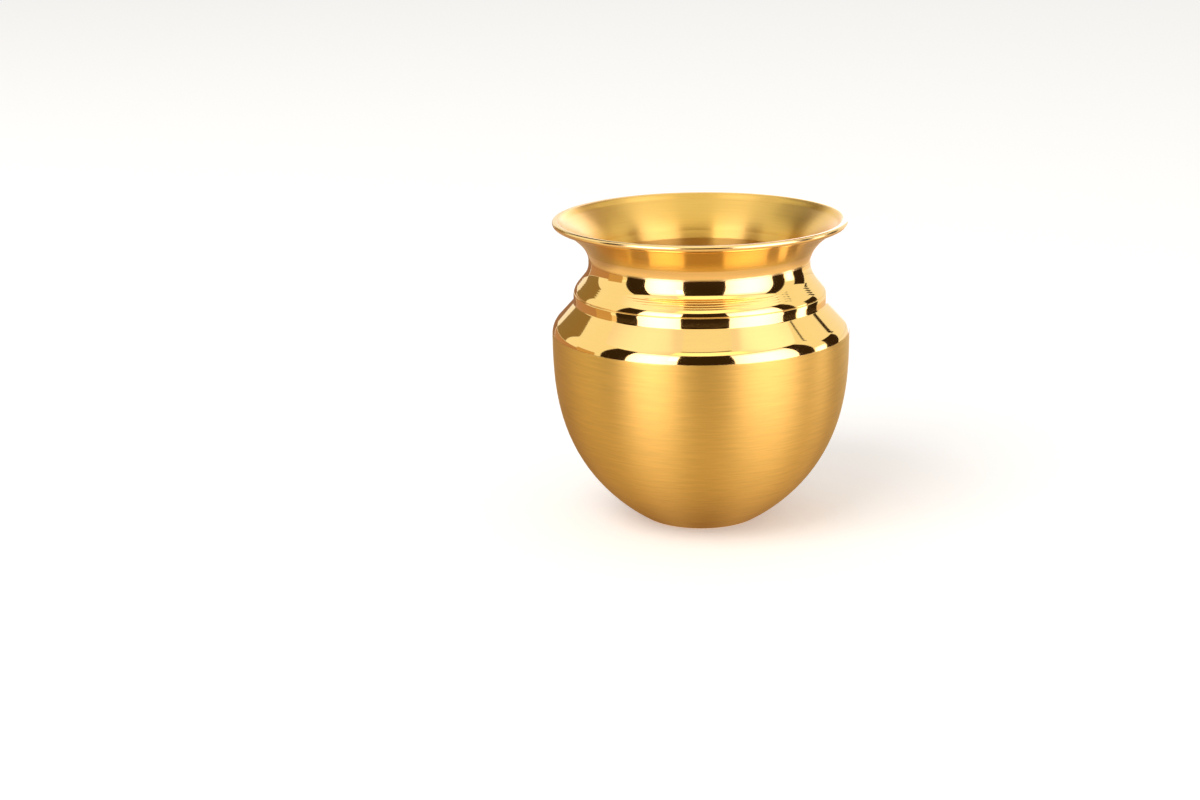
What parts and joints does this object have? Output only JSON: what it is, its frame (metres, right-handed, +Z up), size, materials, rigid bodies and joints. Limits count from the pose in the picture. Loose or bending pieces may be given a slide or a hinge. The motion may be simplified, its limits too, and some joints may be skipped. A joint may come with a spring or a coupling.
{
  "type": "lota",
  "caption": "Small spun brass water pot with a flat foot, round satin belly, polished stepped shoulder, narrow throat and flared neck with a rolled lip.",
  "frame": {"origin": "centre of the circle that the pot stands on, in the plane of its foot", "axes": "+Z up along the pot's axis of revolution, from the foot to the mouth; X and Y are equal"},
  "size_m": [0.061, 0.061, 0.0627],
  "materials": {
    "satin_brass": "satin, turned on a lathe, with fine lines round the pot",
    "polished_brass": "mirror polished",
    "braze_metal": "polished flush with the sheet"
  },
  "bodies": {
    "root": {"belly_bowl": "satin_brass", "shoulder": "polished_brass", "flared_neck": "satin_brass", "belly_seam_braze": "braze_metal", "neck_seam_braze": "braze_metal"}
  },
  "joints": []
}
